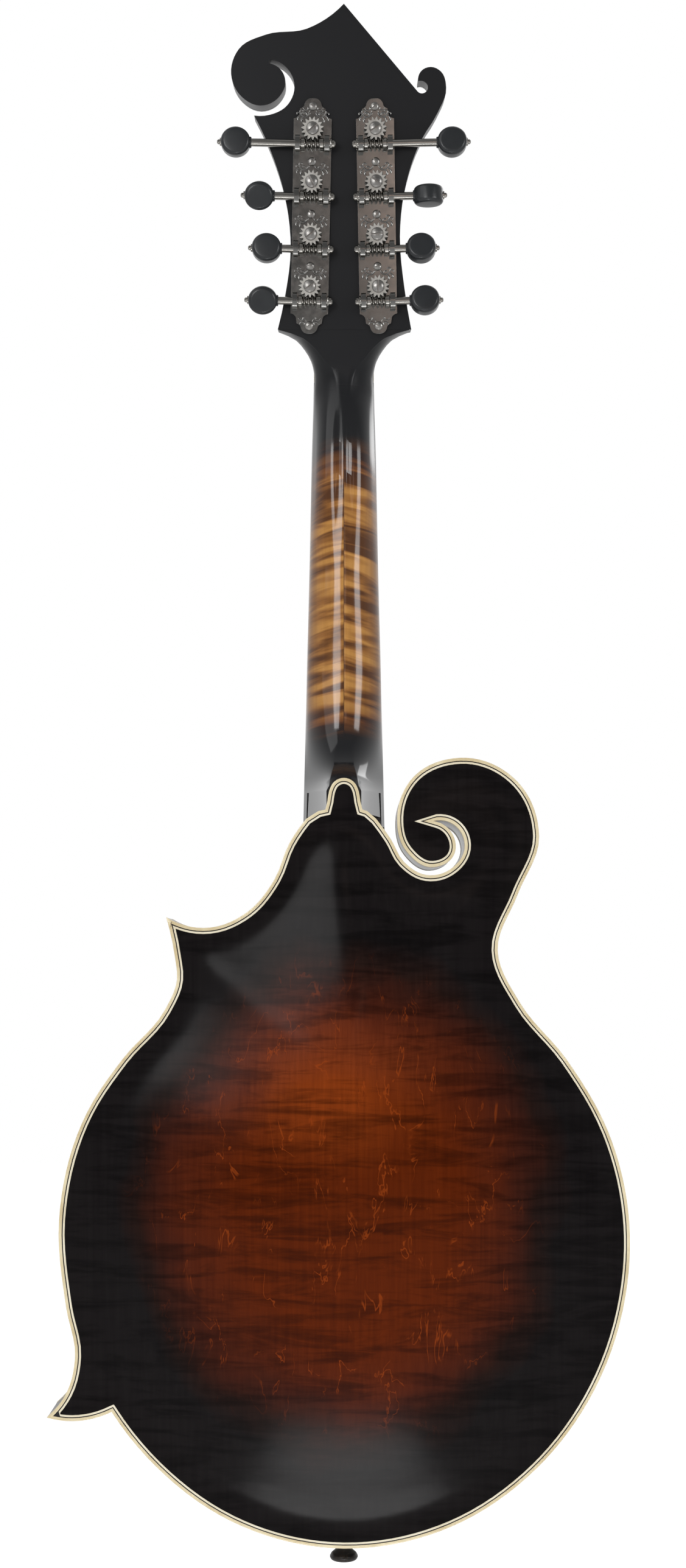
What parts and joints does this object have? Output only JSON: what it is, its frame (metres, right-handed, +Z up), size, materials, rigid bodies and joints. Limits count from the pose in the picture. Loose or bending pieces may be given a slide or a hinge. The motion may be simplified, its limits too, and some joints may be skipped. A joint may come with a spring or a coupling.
{
  "type": "mandolin",
  "caption": "F-style mandolin with a scroll and points on its carved body, f-holes, adjustable bridge, tailpiece and worm-and-gear tuners, hung by its head.",
  "frame": {"origin": "on the centre line at the nut, in the glue plane between neck and fingerboard, where a hanger's yoke holds the head", "axes": "+Z up the neck to the head, +Y out of the strings' side, -Y out of the carved back, +X to the bass side with the scroll"},
  "size_m": [0.2612, 0.0902, 0.7079],
  "materials": {
    "dark_lacquer": "dark gloss lacquer",
    "back_lacquer": "sunburst gloss lacquer over flamed maple",
    "neck_lacquer": "gloss lacquer over flamed maple",
    "top_lacquer": "gloss lacquer over spruce",
    "ivoroid": "polished ivoroid with black and white lines",
    "raw_maple": "bare maple",
    "raw_spruce": "bare spruce",
    "ebony": "satin black",
    "bone": "polished bone",
    "nickel": "nickel plated",
    "bronze": "bronze wound",
    "steel": "plain steel",
    "black_button": "polished black plastic"
  },
  "bodies": {
    "frame": {"back_plate": "back_lacquer", "top_plate": "top_lacquer", "rim": "dark_lacquer", "back_binding": "ivoroid", "top_binding": "ivoroid", "head_block": "raw_maple", "tail_block": "raw_maple", "upper_point_block": "raw_maple", "lower_point_block": "raw_maple", "back_lining": "raw_spruce", "top_lining": "raw_spruce", "tone_bar_bass": "raw_spruce", "tone_bar_treble": "raw_spruce", "neck": "neck_lacquer", "headstock_overlay": "ebony", "fingerboard": "ebony", "nut": "bone", "truss_rod": "steel", "truss_rod_cover": "ebony", "bridge_base": "ebony", "tailpiece_base": "nickel", "end_pin": "ebony", "tuner_plate_bass": "nickel", "tuner_plate_treble": "nickel", "string_g1": "bronze", "string_g2": "bronze", "string_d1": "bronze", "string_d2": "bronze", "string_a1": "steel", "string_a2": "steel", "string_e1": "steel", "string_e2": "steel"},
    "saddle": {"bridge_saddle": "ebony"},
    "wheel_bass": {"bridge_wheel_bass": "nickel"},
    "wheel_treble": {"bridge_wheel_treble": "nickel"},
    "cover": {"tailpiece_cover": "nickel"},
    "worm_bass_1": {"worm_shaft_bass_1": "nickel", "tuner_button_bass_1": "black_button"},
    "post_bass_1": {"post_gear_bass_1": "nickel"},
    "worm_bass_2": {"worm_shaft_bass_2": "nickel", "tuner_button_bass_2": "black_button"},
    "post_bass_2": {"post_gear_bass_2": "nickel"},
    "worm_bass_3": {"worm_shaft_bass_3": "nickel", "tuner_button_bass_3": "black_button"},
    "post_bass_3": {"post_gear_bass_3": "nickel"},
    "worm_bass_4": {"worm_shaft_bass_4": "nickel", "tuner_button_bass_4": "black_button"},
    "post_bass_4": {"post_gear_bass_4": "nickel"},
    "worm_treble_1": {"worm_shaft_treble_1": "nickel", "tuner_button_treble_1": "black_button"},
    "post_treble_1": {"post_gear_treble_1": "nickel"},
    "worm_treble_2": {"worm_shaft_treble_2": "nickel", "tuner_button_treble_2": "black_button"},
    "post_treble_2": {"post_gear_treble_2": "nickel"},
    "worm_treble_3": {"worm_shaft_treble_3": "nickel", "tuner_button_treble_3": "black_button"},
    "post_treble_3": {"post_gear_treble_3": "nickel"},
    "worm_treble_4": {"worm_shaft_treble_4": "nickel", "tuner_button_treble_4": "black_button"},
    "post_treble_4": {"post_gear_treble_4": "nickel"}
  },
  "joints": [
    {"name": "worm_turn_bass_1", "type": "hinge", "parent": "frame", "child": "worm_bass_1", "pos_m": [0.01579, -0.02298, 0.03135], "axis": [0.9998, -0.0036, 0.0206], "continuous": true},
    {"name": "post_turn_bass_1", "type": "hinge", "parent": "frame", "child": "post_bass_1", "pos_m": [0.01565, -0.02411, 0.03775], "axis": [0, -0.9848, -0.1736], "continuous": true},
    {"name": "worm_turn_bass_2", "type": "hinge", "parent": "frame", "child": "worm_bass_2", "pos_m": [0.01531, -0.02698, 0.054], "axis": [0.9998, -0.0036, 0.0206], "continuous": true},
    {"name": "post_turn_bass_2", "type": "hinge", "parent": "frame", "child": "post_bass_2", "pos_m": [0.01517, -0.02811, 0.0604], "axis": [0, -0.9848, -0.1736], "continuous": true},
    {"name": "worm_turn_bass_3", "type": "hinge", "parent": "frame", "child": "worm_bass_3", "pos_m": [0.01482, -0.03097, 0.07665], "axis": [0.9998, -0.0036, 0.0206], "continuous": true},
    {"name": "post_turn_bass_3", "type": "hinge", "parent": "frame", "child": "post_bass_3", "pos_m": [0.01469, -0.0321, 0.08305], "axis": [0, -0.9848, -0.1736], "continuous": true},
    {"name": "worm_turn_bass_4", "type": "hinge", "parent": "frame", "child": "worm_bass_4", "pos_m": [0.01434, -0.03497, 0.0993], "axis": [0.9998, -0.0036, 0.0206], "continuous": true},
    {"name": "post_turn_bass_4", "type": "hinge", "parent": "frame", "child": "post_bass_4", "pos_m": [0.01421, -0.03609, 0.1057], "axis": [0, -0.9848, -0.1736], "continuous": true},
    {"name": "worm_turn_treble_1", "type": "hinge", "parent": "frame", "child": "worm_treble_1", "pos_m": [-0.01579, -0.02298, 0.03135], "axis": [0.9998, 0.0036, -0.0206], "continuous": true},
    {"name": "post_turn_treble_1", "type": "hinge", "parent": "frame", "child": "post_treble_1", "pos_m": [-0.01565, -0.02411, 0.03775], "axis": [0, -0.9848, -0.1736], "continuous": true},
    {"name": "worm_turn_treble_2", "type": "hinge", "parent": "frame", "child": "worm_treble_2", "pos_m": [-0.01531, -0.02698, 0.054], "axis": [0.9998, 0.0036, -0.0206], "continuous": true},
    {"name": "post_turn_treble_2", "type": "hinge", "parent": "frame", "child": "post_treble_2", "pos_m": [-0.01517, -0.02811, 0.0604], "axis": [0, -0.9848, -0.1736], "continuous": true},
    {"name": "worm_turn_treble_3", "type": "hinge", "parent": "frame", "child": "worm_treble_3", "pos_m": [-0.01482, -0.03097, 0.07665], "axis": [0.9998, 0.0036, -0.0206], "continuous": true},
    {"name": "post_turn_treble_3", "type": "hinge", "parent": "frame", "child": "post_treble_3", "pos_m": [-0.01469, -0.0321, 0.08305], "axis": [0, -0.9848, -0.1736], "continuous": true},
    {"name": "worm_turn_treble_4", "type": "hinge", "parent": "frame", "child": "worm_treble_4", "pos_m": [-0.01434, -0.03497, 0.0993], "axis": [0.9998, 0.0036, -0.0206], "continuous": true},
    {"name": "post_turn_treble_4", "type": "hinge", "parent": "frame", "child": "post_treble_4", "pos_m": [-0.01421, -0.03609, 0.1057], "axis": [0, -0.9848, -0.1736], "continuous": true},
    {"name": "saddle_height", "type": "slide", "parent": "frame", "child": "saddle", "axis": [0, 1, 0], "range_m": [-0.0015, 0.001], "deforming": ["string_g1", "string_g2", "string_d1", "string_d2", "string_a1", "string_a2", "string_e1", "string_e2"]},
    {"name": "wheel_turn_bass", "type": "hinge", "parent": "saddle", "child": "wheel_bass", "pos_m": [0.03, 0.01828, -0.35104], "axis": [0, 1, 0], "range_deg": [-670, 445]},
    {"name": "wheel_turn_treble", "type": "hinge", "parent": "saddle", "child": "wheel_treble", "pos_m": [-0.03, 0.01828, -0.35104], "axis": [0, 1, 0], "range_deg": [-670, 445]},
    {"name": "cover_slide", "type": "slide", "parent": "frame", "child": "cover", "axis": [0, 0, -1], "range_m": [0, 0.055]}
  ],
  "couplings": [
    {"joint": "post_turn_bass_1", "follows": "worm_turn_bass_1", "ratio": -0.066667},
    {"joint": "post_turn_bass_2", "follows": "worm_turn_bass_2", "ratio": -0.066667},
    {"joint": "post_turn_bass_3", "follows": "worm_turn_bass_3", "ratio": -0.066667},
    {"joint": "post_turn_bass_4", "follows": "worm_turn_bass_4", "ratio": -0.066667},
    {"joint": "post_turn_treble_1", "follows": "worm_turn_treble_1", "ratio": -0.066667},
    {"joint": "post_turn_treble_2", "follows": "worm_turn_treble_2", "ratio": -0.066667},
    {"joint": "post_turn_treble_3", "follows": "worm_turn_treble_3", "ratio": -0.066667},
    {"joint": "post_turn_treble_4", "follows": "worm_turn_treble_4", "ratio": -0.066667},
    {"joint": "saddle_height", "follows": "wheel_turn_bass", "m_per_rad": 0.00012732},
    {"joint": "wheel_turn_treble", "follows": "wheel_turn_bass", "ratio": 1}
  ]
}
